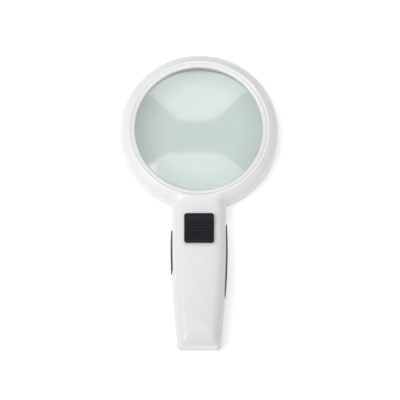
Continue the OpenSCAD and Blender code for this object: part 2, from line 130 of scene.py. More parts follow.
class Shape:
    """Points and faces in millimetres, which become one mesh."""

    def __init__(self):
        self.points = []
        self.faces = []
        self.looks = []

    def row(self, points):
        """Adds points and returns their numbers."""
        start = len(self.points)
        self.points.extend(tuple(float(c) for c in p) for p in points)
        return list(range(start, len(self.points)))

    def face(self, corners, look=0):
        self.faces.append(tuple(corners))
        self.looks.append(look)

    def strip(self, a, b, closed=True, look=0):
        """Quads between two rows of the same length."""
        count = len(a)
        for i in range(count if closed else count - 1):
            k = (i + 1) % count
            self.face((a[i], a[k], b[k], b[i]), look)

    def rows(self, rows, closed=True, look=0):
        for a, b in zip(rows, rows[1:]):
            self.strip(a, b, closed, look)

    def fill(self, outline, holes, height, spacing):
        """Triangles across a nearly level outline, with points inside it at the given spacing."""
        loops = [outline] + list(holes)
        known = [i for loop in loops for i in loop]
        flat = np.array([self.points[i][:2] for i in known])
        edges = []
        start = 0
        for loop in loops:
            edges += [(start + i, start + (i + 1) % len(loop)) for i in range(len(loop))]
            start += len(loop)
        rings = [np.array([self.points[i][:2] for i in loop]) for loop in loops]
        low, high = flat.min(0), flat.max(0)
        xs = np.arange(low[0] + spacing / 2, high[0], spacing)
        ys = np.arange(low[1] + spacing / 2, high[1], spacing)
        grid = np.array([(x, y) for y in ys for x in xs])
        inside = within(grid, rings[0])
        for ring in rings[1:]:
            inside &= ~within(grid, ring)
        grid = grid[inside]
        gaps = np.min(np.linalg.norm(grid[:, None] - flat[None], axis=2), axis=1)
        grid = grid[gaps > 0.55 * spacing]
        wanted = [Vector(p) for p in np.vstack([flat, grid])]
        points, _, faces, origin, _, _ = delaunay_2d_cdt(wanted, edges, [], 1, 1e-7, True)
        numbers = []
        for point, source in zip(points, origin):
            if source and source[0] < len(known):
                numbers.append(known[source[0]])
            else:
                numbers += self.row([(point[0], point[1], height(np.array([point[:2]]))[0])])
        centres = np.array([np.mean([points[i][:] for i in f], axis=0) for f in faces])
        keep = within(centres, rings[0])
        for ring in rings[1:]:
            keep &= ~within(centres, ring)
        for kept, f in zip(keep, faces):
            if kept:
                self.face([numbers[i] for i in f])


def within(points, loop):
    """Which points lie inside a closed loop."""
    inside = np.zeros(len(points), bool)
    x, y = points[:, 0], points[:, 1]
    for (x0, y0), (x1, y1) in zip(loop, np.roll(loop, -1, axis=0)):
        crosses = (y0 > y) != (y1 > y)
        with np.errstate(divide="ignore", invalid="ignore"):
            meets = x < (x1 - x0) * (y - y0) / (y1 - y0) + x0
        inside ^= crosses & meets
    return inside


def loop_distance(points, loop):
    """Distance from each point to the nearest side of a closed loop."""
    best = np.full(len(points), np.inf)
    for a, b in zip(loop, np.roll(loop, -1, axis=0)):
        run = b - a
        share = np.clip(((points - a) @ run) / max(run @ run, 1e-12), 0, 1)
        best = np.minimum(best, np.linalg.norm(points - a - share[:, None] * run, axis=1))
    return best


def place(name, shape, slots, body, replaces, sharp=35.0, about_axis=True):
    """Makes a mesh object from a shape, gives it its looks and ties it to a CAD body.

    A shape is measured from the lens axis, or from the frame's origin if about_axis is False.
    """
    offset = np.array([0.0, AXIS_Y if about_axis else 0.0, 0.0])
    mesh = bpy.data.meshes.new(name)
    mesh.from_pydata(((np.array(shape.points) + offset) * MM).tolist(), [], shape.faces)
    mesh.polygons.foreach_set("material_index", shape.looks)
    work = bmesh.new()
    work.from_mesh(mesh)
    bmesh.ops.remove_doubles(work, verts=work.verts, dist=1e-7)
    bmesh.ops.recalc_face_normals(work, faces=work.faces)
    work.to_mesh(mesh)
    work.free()
    mesh.shade_smooth()
    mesh.set_sharp_from_angle(angle=math.radians(sharp))
    for slot in slots:
        mesh.materials.append(LOOKS[slot])
    piece = bpy.data.objects.new(name, mesh)
    bpy.context.scene.collection.objects.link(piece)
    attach(piece, body)
    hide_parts(*replaces)


def arc(centre, radius, start, end, steps):
    """Points along an arc, angles in radians, both ends included."""
    angles = np.linspace(start, end, steps + 1)
    return np.stack([centre[0] + radius * np.cos(angles), centre[1] + radius * np.sin(angles)], axis=1)


def revolve(shape, profile, segments=256, closed=True, look=0):
    """Turns (radius, height) points about the lens axis."""
    angles = np.linspace(0, 2 * math.pi, segments, endpoint=False)
    rows = []
    for r, z in profile:
        if r < 1e-6:
            rows.append(shape.row([(0, 0, z)]) * segments)
        else:
            rows.append(shape.row([(r * math.cos(a), r * math.sin(a), z) for a in angles]))
    if closed:
        rows.append(rows[0])
    for a, b in zip(rows, rows[1:]):
        for i in range(segments):
            k = (i + 1) % segments
            corners = list(dict.fromkeys((a[i], a[k], b[k], b[i])))
            if len(corners) > 2:
                shape.face(corners, look)


def post(shape, x, y, r, low, high, segments=24):
    """A closed round post."""
    around = arc((x, y), r, 0, 2 * math.pi, segments)[:-1]
    foot = shape.row([(px, py, low) for px, py in around])
    head = shape.row([(px, py, high) for px, py in around])
    shape.strip(foot, head)
    shape.face(foot)
    shape.face(head)


# ---------- outline of the rim and handle ----------

SIDE_CENTRE = np.array([HALF_WIDTH - SIDE_ARC_R, -WIDEST_REACH])


def neck_centre():
    """Centre of the small arc that joins the rim to the handle's right side."""
    far = np.linalg.norm(SIDE_CENTRE)
    r0 = RING_R + NECK_FILLET_R
    r1 = SIDE_ARC_R + NECK_FILLET_R
    along = (r0**2 - r1**2 + far**2) / (2 * far)
    away = math.sqrt(r0**2 - along**2)
    unit = SIDE_CENTRE / far
    return along * unit - away * np.array([unit[1], -unit[0]])


NECK = neck_centre()
RING_ANGLE = math.atan2(NECK[1], NECK[0])
SIDE_ANGLE = math.atan2(NECK[1] - SIDE_CENTRE[1], NECK[0] - SIDE_CENTRE[0])
RING_STEPS, NECK_STEPS, SIDE_STEPS, CORNER_STEPS, END_STEPS = 110, 10, 44, 12, 8


def plan(inset, end_inset=None, corner_r=END_CORNER_R):
    """The outline, moved inwards, and each point's share of the end's edge instead of the side's.

    It runs clockwise from the top of the rim, and the rim's part comes first and last.
    """
    end_inset = inset if end_inset is None else end_inset
    ring = arc((0, 0), RING_R - inset, math.pi / 2, RING_ANGLE, RING_STEPS)
    neck = arc(NECK, NECK_FILLET_R + inset, RING_ANGLE + math.pi, SIDE_ANGLE + math.pi, NECK_STEPS)
    corner_y = -HANDLE_REACH + end_inset + corner_r
    reach = SIDE_ARC_R - inset - corner_r
    corner_x = SIDE_CENTRE[0] + math.sqrt(reach**2 - (corner_y - SIDE_CENTRE[1]) ** 2)
    corner_angle = math.atan2(corner_y - SIDE_CENTRE[1], corner_x - SIDE_CENTRE[0])
    side = arc(SIDE_CENTRE, SIDE_ARC_R - inset, SIDE_ANGLE, corner_angle, SIDE_STEPS)
    corner = arc((corner_x, corner_y), corner_r, corner_angle, -math.pi / 2, CORNER_STEPS)
    end_y = -HANDLE_REACH + end_inset
    end = np.stack([np.linspace(corner_x, 0, END_STEPS + 1), np.full(END_STEPS + 1, end_y)], axis=1)
    half = np.vstack([ring, neck[1:], side[1:], corner[1:], end[1:]])
    turn = np.linspace(0, 1, CORNER_STEPS + 1)[1:]
    before = 1 + RING_STEPS + NECK_STEPS + SIDE_STEPS
    share = np.concatenate([np.zeros(before), turn * turn * (3 - 2 * turn), np.ones(END_STEPS)])
    whole = np.vstack([half, half[-2:0:-1] * [-1, 1]])
    return whole, np.concatenate([share, share[-2:0:-1]])


OUTLINE = plan(0)[0]


def crown_drop(distance):
    """How far the handle's gently domed face has fallen at a distance in from its edge."""
    return FACE_CROWN * (1 - np.minimum(distance / CROWN_WIDTH, 1)) ** 2


def face_height(points, depth=0.0):
    return BODY_T - depth - crown_drop(loop_distance(points, OUTLINE))


def edge_row(shape, angle, side_r, end_r, inset, depth):
    """One row round the front edge, at an angle from upright wall (0) to level face (90 degrees)."""
    a = inset + side_r * (1 - math.cos(angle))
    b = inset + end_r * (1 - math.cos(angle))
    corner_r = END_CORNER_R - FACE_CORNER_LESS * (a / FRONT_EDGE_R)
    points, share = plan(a, b, corner_r)
    fall = 1 - math.sin(angle)
    side_z = BODY_T - depth - crown_drop(a) - side_r * fall
    end_z = BODY_T - depth - crown_drop(b) - end_r * fall
    z = side_z * (1 - share) + end_z * share
    return shape.row(np.column_stack([points, z]))


def level_row(shape, inset, z):
    points, _ = plan(inset)
    return shape.row(np.column_stack([points, np.full(len(points), z)]))


def face_with_bore(shape, edge, radius, depth, slot_low, slot_high):
    """Fills the handle's face inside its edge row, leaving the lens bore and the slot open.

    Returns the row of points round the bore and the row round the slot.
    """
    count = len(edge)
    rim_right = edge[: RING_STEPS + 1]
    handle = edge[RING_STEPS : count - RING_STEPS + 1]
    rim_left = edge[count - RING_STEPS :]
    neck = arc((0, 0), radius, math.pi - RING_ANGLE, 2 * math.pi + RING_ANGLE, 40)[1:-1]
    heights = face_height(neck, depth)
    neck_row = shape.row(np.column_stack([neck, heights]))
    slot_points = []
    for sx, sy, start in ((1, 1, 0), (-1, 1, 90), (-1, -1, 180), (1, -1, 270)):
        slot_end = slot_high if sy > 0 else slot_low
        centre = (sx * (SLOT_HALF_W - SLOT_CORNER_R), slot_end - sy * SLOT_CORNER_R)
        turn = math.radians(start)
        slot_points += list(arc(centre, SLOT_CORNER_R, turn, turn + math.pi / 2, 4))
    slot_points = np.array(slot_points)
    slot_row = shape.row(np.column_stack([slot_points, face_height(slot_points, depth)]))
    shape.fill(handle + neck_row, [slot_row], lambda p: face_height(p, depth), FACE_POINT_GAP)
    return rim_right + neck_row[::-1] + rim_left, slot_row


def bore_row(shape, around, radius, z):
    """A row round the lens axis that follows the directions of another row's points."""
    points = []
    for i, number in enumerate(around):
        x, y, _ = shape.points[number]
        far = math.hypot(x, y)
        height = z[i] if isinstance(z, np.ndarray) else z
        points.append((x / far * radius, y / far * radius, height))
    return shape.row(points)


def front_housing():
    """The front shell: rounded outside, lens bore with its steps, hollow inside, switch slot."""
    shape = Shape()
    rows = []
    for step in range(4):
        turn = math.radians(90 - 30 * step)
        inset = SEAM_EDGE_R * (1 - math.cos(turn))
        rows.append(level_row(shape, inset, SEAM_Z + SEAM_EDGE_R * (1 - math.sin(turn))))
    for above_seam in (1.5, 3.5):
        rows.append(level_row(shape, 0, SEAM_Z + above_seam))
    rim_face_r = REBATE_R + LIP_WIDTH
    last = math.acos(1 - (RING_R - rim_face_r) / FRONT_EDGE_R)
    for angle in np.linspace(0, last, 18):
        rows.append(edge_row(shape, angle, FRONT_EDGE_R, END_EDGE_R, 0, 0))
    shape.rows(rows)

    slot_low = -PAD_REACH - SLOT_MARGIN
    slot_high = -PAD_REACH + TRAVEL + SLOT_MARGIN
    bore, slot = face_with_bore(shape, rows[-1], rim_face_r, 0, slot_low, slot_high)
    top = np.array([shape.points[i][2] for i in bore])
    steps = [bore]
    for t in np.linspace(0, 1, 9)[1:]:
        r = (1 - t) ** 2 * rim_face_r + 2 * t * (1 - t) * (rim_face_r - LIP_SHOULDER) + t**2 * REBATE_R
        z = (1 - t) ** 2 * top + 2 * t * (1 - t) * BODY_T + t**2 * (BODY_T - LIP_DROP)
        steps.append(bore_row(shape, bore, r, z))
    for r, z in (
        (REBATE_R, REBATE_Z),
        (WELL_R, REBATE_Z),
        (WELL_R, LEDGE_Z),
        (TUBE_IN_R, LEDGE_Z),
        (TUBE_IN_R, SEAM_Z + TUBE_EDGE),
        (TUBE_IN_R + TUBE_EDGE, SEAM_Z),
        (TUBE_OUT_R, SEAM_Z),
        (TUBE_OUT_R, LEDGE_Z - LEDGE_T),
        (WELL_WALL_R, LEDGE_Z - LEDGE_T),
    ):
        steps.append(bore_row(shape, bore, r, z))

    inner = [level_row(shape, WALL, SEAM_Z)]
    inner_side_r = FRONT_EDGE_R - WALL
    inner_last = math.acos(1 - (RING_R - WALL - WELL_WALL_R) / inner_side_r)
    for angle in np.linspace(0, inner_last, 8):
        inner.append(edge_row(shape, angle, inner_side_r, END_EDGE_R - WALL, WALL, WALL))
    shape.strip(rows[0], inner[0])
    shape.rows(inner)
    inner_bore, inner_slot = face_with_bore(shape, inner[-1], WELL_WALL_R, WALL, slot_low, slot_high)
    steps.append(inner_bore)
    shape.rows(steps)
    shape.strip(slot, inner_slot)
    for x, y in SCREW_PLACES:
        post(shape, x, y, SCREW_POST_R, SEAM_Z + 0.05, BODY_T - SCREW_POST_DEPTH)
    place("front_housing", shape, ["white_shell"], "housing", ["front_shell"], sharp=50)


# ---------- lens and what holds it ----------


def bezel():
    """The lens's retaining ring: nearly flat, with a wide curve inside and a tight edge outside."""
    shape = Shape()
    foot_z = bezel_low[2]
    inner_w, outer_r = 1.9, 0.25
    crest_z = BODY_T - 0.35
    edge_z = crest_z - 0.05
    inner_h = edge_z - (foot_z + 0.15)
    last_turn = 84
    profile = [(APERTURE_R, foot_z)]
    for turn in np.radians(np.linspace(0, last_turn, 12)):
        profile.append((
            APERTURE_R + inner_w * (1 - math.cos(turn)),
            edge_z - inner_h * (1 - math.sin(turn)),
        ))
    profile.append(((APERTURE_R + BEZEL_R) / 2, crest_z))
    for turn in np.radians(np.linspace(last_turn, 0, 9)):
        profile.append((
            BEZEL_R - outer_r * (1 - math.cos(turn)),
            edge_z - outer_r * (1 - math.sin(turn)),
        ))
    step_z = REBATE_Z + 0.1
    foot_r = WELL_R - 0.2
    profile += [(BEZEL_R, step_z), (foot_r, step_z), (foot_r, foot_z)]
    revolve(shape, profile, 320)
    place("lens_bezel", shape, ["white_bezel"], "housing", ["bezel_ring"])


def lens():
    """A biconvex lens with a ground edge; the back face has a look of its own."""
    shape = Shape()
    drop = math.sqrt(LENS_CURVE_R**2 - LENS_R**2)
    top_z, low_z = lens_high[2], lens_low[2]
    bevel = 0.25
    radii = np.linspace(0, LENS_R - bevel, 40)
    rise = np.sqrt(LENS_CURVE_R**2 - radii**2) - LENS_CURVE_R
    front = [(r, top_z + h) for r, h in zip(radii, rise)]
    back = [(r, low_z - h) for r, h in zip(radii, rise)]
    revolve(shape, front, 256, closed=False, look=0)
    edge_high = top_z - (LENS_CURVE_R - drop)
    edge_low = low_z + (LENS_CURVE_R - drop)
    edge = [front[-1], (LENS_R, edge_high - bevel), (LENS_R, edge_low + bevel), back[-1]]
    revolve(shape, edge, 256, closed=False, look=1)
    revolve(shape, back, 256, closed=False, look=1)
    slots = ["lens_glass", "lens_glass_back"]
    place("magnifying_lens", shape, slots, "housing", ["lens"])


# ---------- thumb pad and grips ----------


def slab(half_w, half_l, corner_r, edge_r, top, depth, columns, row_gap):
    """A rounded rectangle whose top follows top(x, y), with a rounded edge and upright sides."""
    shape = Shape()
    inner_r = max(corner_r - edge_r, 0.05)
    flat_w, flat_l = half_w - edge_r, half_l - edge_r
    bend = np.sin(np.radians(np.linspace(0, 90, 9)))
    ys = list(-flat_l + inner_r * (1 - bend[::-1]))
    straight_l = flat_l - inner_r
    straight = np.linspace(-straight_l, straight_l, max(int(2 * straight_l / row_gap), 2) + 1)
    ys = ys[:-1] + list(straight) + list(flat_l - inner_r * (1 - bend))[1:]
    ys = np.array(ys)
    over = np.maximum(np.abs(ys) - straight_l, 0)
    widths = flat_w - inner_r + np.sqrt(np.maximum(inner_r**2 - over**2, 0))
    share = np.linspace(-1, 1, columns)
    rows = []
    for y, width in zip(ys, widths):
        xs = share * width
        rows.append(shape.row([(x, y, top(x, y)) for x in xs]))
    shape.rows(rows, closed=False)
    border = rows[0] + [r[-1] for r in rows[1:]] + rows[-1][-2::-1] + [r[0] for r in rows[-2:0:-1]]
    base = np.array([shape.points[i] for i in border])
    outward = slab_normals(base, flat_w, flat_l, inner_r)
    previous = border
    for turn in np.radians(np.linspace(0, 90, 7))[1:]:
        moved = base.copy()
        moved[:, :2] += outward * edge_r * math.sin(turn)
        moved[:, 2] -= edge_r * (1 - math.cos(turn))
        current = shape.row(moved)
        shape.strip(previous, current)
        previous = current
    foot = np.array([shape.points[i] for i in previous])
    foot[:, 2] = depth
    bottom = shape.row(foot)
    shape.strip(previous, bottom)
    shape.face(bottom)
    return shape


def slab_normals(points, half_w, half_l, corner_r):
    """Outward directions round a rounded rectangle."""
    reach = np.array([half_w - corner_r, half_l - corner_r])
    core = np.clip(points[:, :2], -reach, reach)
    away = points[:, :2] - core
    return away / np.maximum(np.linalg.norm(away, axis=1), 1e-9)[:, None]


def block(half_w, half_l, high, low):
    """A small flat-topped block with slightly rounded edges."""
    return slab(half_w, half_l, 0.5, 0.2, lambda x, y: high, low, 8, 1)


def thumb_pad():
    """The switch's thumb pad: a plain band, then a dished area with raised ribs.

    A neck goes down through the slot to a foot that holds the pad under the shell.
    """
    half_w = (button_high[0] - button_low[0]) / 2
    length = button_high[1] - button_low[1]
    top_z = button_high[2]
    band, lip, depth, ribs = 6.0, 1.6, 1.0, 6
    dish_l = length - band - lip
    dish_y = -band / 2 + lip / 2
    dish_r = (dish_l**2 / 4 + depth**2) / (2 * depth)
    pitch = dish_l / ribs
    rib_r, rib_half, rib_fade = 0.62, half_w - 1.5, 0.5

    def top(x, y):
        along = y - dish_y
        z = top_z
        if abs(along) < dish_l / 2:
            z = min(top_z, top_z - depth + dish_r - math.sqrt(dish_r**2 - along**2))
            offset = (along + dish_l / 2) % pitch - pitch / 2
            bump = max(rib_r**2 - offset**2, 0) ** 0.5
            fade = min(max((rib_half - abs(x)) / rib_fade, 0), 1)
            z += bump * fade * (2 - fade)
        return z

    corner_r, edge_r = 2.0, 0.7
    shape = slab(half_w, length / 2, corner_r, edge_r, top, PAD_UNDER_Z, 36, 0.16)
    wall_under_z = BODY_T - WALL
    neck = block(3.4, 2.4, PAD_UNDER_Z + 0.3, wall_under_z - 1)
    foot = block(5.6, 3.6, wall_under_z - 0.25, wall_under_z - 1.2)
    for part in (neck, foot):
        start = len(shape.points)
        shape.points += part.points
        shape.faces += [tuple(i + start for i in f) for f in part.faces]
        shape.looks += part.looks
    middle = np.array([0, (button_low[1] + button_high[1]) / 2, 0])
    shape.points = [tuple(np.array(p) + middle) for p in shape.points]
    replaced = ["switch_button"]
    place("thumb_pad", shape, ["black_button"], "switch", replaced, sharp=60, about_axis=False)


def arc_x(y, widest_x, widest_y, radius):
    """Distance from the centre line of a long arc along the handle's side."""
    return widest_x - radius + np.sqrt(radius**2 - (y - widest_y) ** 2)


def grip(side, node, top_drop):
    """A rubber strip on the handle's side that wraps on to its front edge, with cross ribs.

    Its top edge lies lower than its CAD solid's by top_drop, to look as narrow as in the photo.
    """
    low, high = box_mm(node)
    half_h = (high[2] - low[2] - top_drop) / 2
    half_l = (high[1] - low[1]) / 2
    middle_y = (low[1] + high[1]) / 2 - AXIS_Y
    middle_z = (low[2] + high[2] - top_drop) / 2
    sunk, lift, pitch, groove, border = 1.2, 0.12, 2.4, 0.4, 1.2
    edge_r, groove_fade = 0.3, 0.4
    turns = np.radians(np.linspace(0, 70, 71))
    drops = FRONT_EDGE_R * (1 - np.cos(turns))
    heights = BODY_T - crown_drop(drops) - FRONT_EDGE_R * (1 - np.sin(turns))
    widest_x = arc_x(-GRIP_WIDEST_REACH, HALF_WIDTH, -WIDEST_REACH, SIDE_ARC_R) + GRIP_PROUD

    def strip_x(y):
        return arc_x(y, widest_x, -GRIP_WIDEST_REACH, GRIP_ARC_R)

    def top(x, y):
        past_end = max(abs(y) - (half_l - half_h), 0)
        inside = half_h - border - math.hypot(x, past_end)
        if inside <= 0:
            return lift
        proud = strip_x(middle_y + y) - arc_x(middle_y + y, HALF_WIDTH, -WIDEST_REACH, SIDE_ARC_R)
        depth = min(groove, 0.8 * (proud + lift))
        wave = 0.5 + 0.5 * math.cos(2 * math.pi * y / pitch)
        return lift - depth * min(inside / groove_fade, 1) * wave

    shape = slab(half_h, half_l, half_h - 0.01, edge_r, top, -sunk, 24, 0.2)
    placed = []
    for across, along, out in shape.points:
        y = middle_y + along
        z = middle_z + across
        turn = np.interp(z, heights, turns)
        x = strip_x(y) - FRONT_EDGE_R * (1 - math.cos(turn))
        placed.append((side * (x + out * math.cos(turn)), y, z + out * math.sin(turn)))
    shape.points = placed
    name = "grip_strip_right" if side > 0 else "grip_strip_left"
    place(name, shape, ["grip_rubber"], "housing", [node], sharp=60)


# ---------- looks ----------


class Look:
    """A Principled material whose colour, roughness and relief come from procedural nodes."""

    def __init__(self, name, **sockets):
        self.material = bpy.data.materials.new(name)
        self.material.use_nodes = True
        self.tree = self.material.node_tree
        self.shader = self.tree.nodes["Principled BSDF"]
        for socket, value in sockets.items():
            self.shader.inputs[socket.replace("_", " ")].default_value = value
        self.place = self.node("ShaderNodeTexCoord").outputs["Object"]

    def node(self, kind, inputs=None, **settings):
        made = self.tree.nodes.new(kind)
        for key, value in settings.items():
            setattr(made, key, value)
        for key, value in (inputs or {}).items():
            socket = made.inputs[key]
            if isinstance(value, bpy.types.NodeSocket):
                self.tree.links.new(value, socket)
            else:
                socket.default_value = value
        return made

    def stretched(self, scale):
        return self.node("ShaderNodeMapping", {"Vector": self.place, "Scale": scale}).outputs["Vector"]

    def noise(self, size, detail=3.0, stretch=None, distortion=0.0):
        """Soft random patches of a size in millimetres."""
        vector = self.stretched(stretch) if stretch else self.place
        made = self.node(
            "ShaderNodeTexNoise",
            {"Vector": vector, "Scale": 1000.0 / size, "Detail": detail, "Distortion": distortion},
        )
        return made.outputs["Fac"]

    def spread(self, value, low, high, to_low=0.0, to_high=1.0):
        """Stretches the part of a value between low and high over a new range."""
        made = self.node(
            "ShaderNodeMapRange",
            {"Value": value, "From Min": low, "From Max": high, "To Min": to_low, "To Max": to_high},
        )
        return made.outputs["Result"]

    def mix(self, share, a, b):
        """Colour a where the share is 0 and colour b where it is 1."""
        factor, first, second, result = 0, 6, 7, 2
        made = self.node("ShaderNodeMix", {factor: share, first: a, second: b}, data_type="RGBA")
        return made.outputs[result]

    def times(self, a, b):
        return self.node("ShaderNodeMath", {0: a, 1: b}, operation="MULTIPLY").outputs[0]

    def plus(self, a, b):
        return self.node("ShaderNodeMath", {0: a, 1: b}, operation="ADD").outputs[0]

    def edges(self, low=0.52, high=0.6):
        """How strongly a place is a worn outside edge."""
        return self.spread(self.node("ShaderNodeNewGeometry").outputs["Pointiness"], low, high)

    def creases(self, reach):
        """How deep in a seam or corner a place is, within a reach in millimetres."""
        made = self.node("ShaderNodeAmbientOcclusion", {"Distance": reach * MM}, samples=8)
        return self.spread(made.outputs["AO"], 0.9, 0.35)

    def colour(self, value):
        self.tree.links.new(value, self.shader.inputs["Base Color"])

    def roughness(self, value):
        self.tree.links.new(value, self.shader.inputs["Roughness"])

    def relief(self, height, depth, strength=1.0):
        """Bump of a depth in millimetres, on top of any earlier bump."""
        inputs = {"Height": height, "Distance": depth * MM, "Strength": strength}
        earlier = self.shader.inputs["Normal"].links
        if earlier:
            inputs["Normal"] = earlier[0].from_socket
        made = self.node("ShaderNodeBump", inputs)
        self.tree.links.new(made.outputs["Normal"], self.shader.inputs["Normal"])


def rgb(red, green, blue):
    return (red, green, blue, 1.0)


def moulded_white(name, light, shade, gloss, orange_peel):
    """Glossy moulded plastic with a faint flow pattern, painted shade in its seams and corners, soft
    orange peel and rubbed edges.
    """
    look = Look(name, Coat_Weight=0.35, Coat_Roughness=0.12, IOR=1.49)
    flow = look.noise(60, 1.0, stretch=(1, 0.35, 1))
    base = look.mix(look.spread(flow, 0.25, 0.75), light, shade)
    # Painted shade: in seams and corners the colour darkens by up to 30 percent towards grey 0.46.
    seam_shaded = look.mix(look.times(look.creases(0.9), 0.3), base, rgb(0.46, 0.46, 0.45))
    specks = look.spread(look.noise(0.9, 1.0), 0.74, 0.8)
    look.colour(look.mix(look.times(specks, 0.12), seam_shaded, rgb(0.55, 0.55, 0.54)))
    haze = look.spread(look.noise(14, 4.0), 0.3, 0.7, gloss, gloss + 0.09)
    scratches = look.spread(look.noise(2.2, 5.0, stretch=(0.12, 1, 1)), 0.62, 0.75, 0.0, 0.1)
    rubbed = look.times(look.edges(), 0.12)
    look.roughness(look.plus(look.plus(haze, scratches), rubbed))
    look.relief(look.noise(1.6, 2.0), orange_peel)
    look.relief(look.noise(0.22, 1.0), 0.0008)
    return look.material


def white_shell():
    return moulded_white("white_shell", rgb(0.75, 0.75, 0.75), rgb(0.735, 0.737, 0.74), 0.285, 0.002)


def white_bezel():
    return moulded_white("white_bezel", rgb(0.72, 0.72, 0.72), rgb(0.71, 0.712, 0.715), 0.28, 0.001)


def lens_glass(name, reflects):
    """Faintly green optical plastic with light smears. Painted shade darkens its tint below clear
    plastic and greys it towards its rim.

    The front face has a hard coat. The back face mirrors only at glancing angles.
    """
    look = Look(name, Transmission_Weight=1.0, IOR=1.49, Coat_Roughness=0.05)
    smear = look.noise(22, 4.0, stretch=(1, 0.6, 1), distortion=1.5)
    if reflects:
        look.shader.inputs["Coat Weight"].default_value = 0.42
    else:
        glancing = look.node("ShaderNodeFresnel", {"IOR": 1.49}).outputs["Fac"]
        look.tree.links.new(glancing, look.shader.inputs["Specular Tint"])
    # Painted shade: the tint darkens and greys from 30 mm out to the aperture's edge, standing for the
    # shaded tube wall seen through the lens's rim.
    flat = look.node("ShaderNodeVectorMath", {0: look.place, 1: (1, 1, 0)}, operation="MULTIPLY")
    centre = (0, AXIS_Y * MM, 0)
    reach = look.node("ShaderNodeVectorMath", {0: flat.outputs[0], 1: centre}, operation="DISTANCE")
    edge = look.spread(reach.outputs["Value"], 0.030, APERTURE_R * MM)
    # Partly the plastic's own faint green, partly painted shade: the tint is darker than clear
    # plastic, standing for the shaded floor under the lens.
    middle = look.mix(smear, rgb(0.717, 0.796, 0.781), rgb(0.733, 0.806, 0.791))
    look.colour(look.mix(edge, middle, rgb(0.655, 0.725, 0.715)))
    look.roughness(look.spread(smear, 0.35, 0.7, 0.06, 0.11))
    look.relief(look.noise(30, 1.0), 0.001)
    return look.material


def black_button():
    """Satin black plastic, with a little dust between its ribs."""
    look = Look("black_button", IOR=1.5, Specular_IOR_Level=0.12)
    base = look.mix(look.noise(6, 3.0), rgb(0.008, 0.009, 0.012), rgb(0.012, 0.013, 0.017))
    worn = look.mix(look.times(look.edges(), 0.5), base, rgb(0.03, 0.032, 0.037))
    look.colour(look.mix(look.times(look.creases(0.8), 0.3), worn, rgb(0.02, 0.02, 0.022)))
    look.roughness(look.spread(look.noise(2.5, 4.0), 0.3, 0.7, 0.34, 0.46))
    look.relief(look.noise(0.35, 2.0), 0.012)
    return look.material


def grip_rubber():
    """Matt dark rubber with a fine grain."""
    look = Look("grip_rubber", Specular_IOR_Level=0.45)
    base = look.mix(look.noise(4, 3.0), rgb(0.055, 0.056, 0.06), rgb(0.08, 0.081, 0.085))
    look.colour(look.mix(look.times(look.edges(), 0.5), base, rgb(0.13, 0.13, 0.135)))
    look.roughness(look.spread(look.noise(1.2, 3.0), 0.3, 0.7, 0.62, 0.8))
    look.relief(look.noise(0.25, 2.0), 0.02)
    return look.material


def gasket_rubber():
    look = Look("gasket_rubber", Specular_IOR_Level=0.3)
    look.colour(look.mix(look.noise(3, 3.0), rgb(0.03, 0.03, 0.032), rgb(0.05, 0.05, 0.052)))
    look.roughness(look.spread(look.noise(0.8, 2.0), 0.3, 0.7, 0.7, 0.85))
    look.relief(look.noise(0.3, 2.0), 0.015)
    return look.material


def circuit_board():
    """Green solder mask over copper tracks, with glass weave showing faintly."""
    look = Look("circuit_board", IOR=1.5)
    pads = look.node(
        "ShaderNodeTexVoronoi", {"Vector": look.place, "Scale": 320.0}, distance="MANHATTAN"
    )
    track = look.spread(pads.outputs["Distance"], 0.42, 0.46)
    mask = look.mix(look.noise(9, 2.0), rgb(0.01, 0.09, 0.035), rgb(0.014, 0.12, 0.045))
    look.colour(look.mix(track, mask, rgb(0.03, 0.2, 0.08)))
    look.roughness(look.spread(look.noise(3, 2.0), 0.3, 0.7, 0.28, 0.4))
    look.relief(track, 0.03)
    weave = look.node("ShaderNodeTexWave", {"Vector": look.place, "Scale": 700.0, "Distortion": 1.0})
    look.relief(weave.outputs["Fac"], 0.004)
    return look.material


def led_resin():
    """Water-clear lamp resin with a yellow phosphor glow inside."""
    look = Look("led_resin", Transmission_Weight=0.6, IOR=1.5)
    look.colour(look.mix(look.noise(2, 2.0), rgb(0.95, 0.9, 0.62), rgb(0.97, 0.95, 0.8)))
    look.roughness(look.spread(look.noise(1.5, 2.0), 0.3, 0.7, 0.05, 0.14))
    look.relief(look.noise(1.0, 2.0), 0.004)
    return look.material


def black_resin():
    look = Look("black_resin")
    look.colour(look.mix(look.noise(1.5, 3.0), rgb(0.015, 0.015, 0.016), rgb(0.03, 0.03, 0.031)))
    look.roughness(look.spread(look.noise(0.5, 3.0), 0.3, 0.7, 0.45, 0.6))
    look.relief(look.noise(0.15, 2.0), 0.01)
    return look.material


def ferrite():
    """Dark sintered ferrite, slightly grainy."""
    look = Look("ferrite", Metallic=0.25)
    look.colour(look.mix(look.noise(0.4, 3.0), rgb(0.05, 0.05, 0.052), rgb(0.09, 0.088, 0.085)))
    look.roughness(look.spread(look.noise(0.8, 3.0), 0.3, 0.7, 0.5, 0.68))
    look.relief(look.noise(0.12, 2.0), 0.015)
    return look.material


def knob_plastic():
    look = Look("knob_plastic")
    look.colour(look.mix(look.noise(1.5, 3.0), rgb(0.68, 0.65, 0.56), rgb(0.74, 0.71, 0.63)))
    look.roughness(look.spread(look.noise(0.8, 3.0), 0.3, 0.7, 0.4, 0.52))
    look.relief(look.noise(0.2, 2.0), 0.008)
    return look.material


def wire(name, dark, light):
    """Shiny wire insulation, a little dulled along its length."""
    look = Look(name)
    look.colour(look.mix(look.noise(2.5, 3.0), dark, light))
    look.roughness(look.spread(look.noise(1.5, 3.0), 0.3, 0.7, 0.3, 0.45))
    look.relief(look.noise(0.4, 2.0), 0.01)
    return look.material


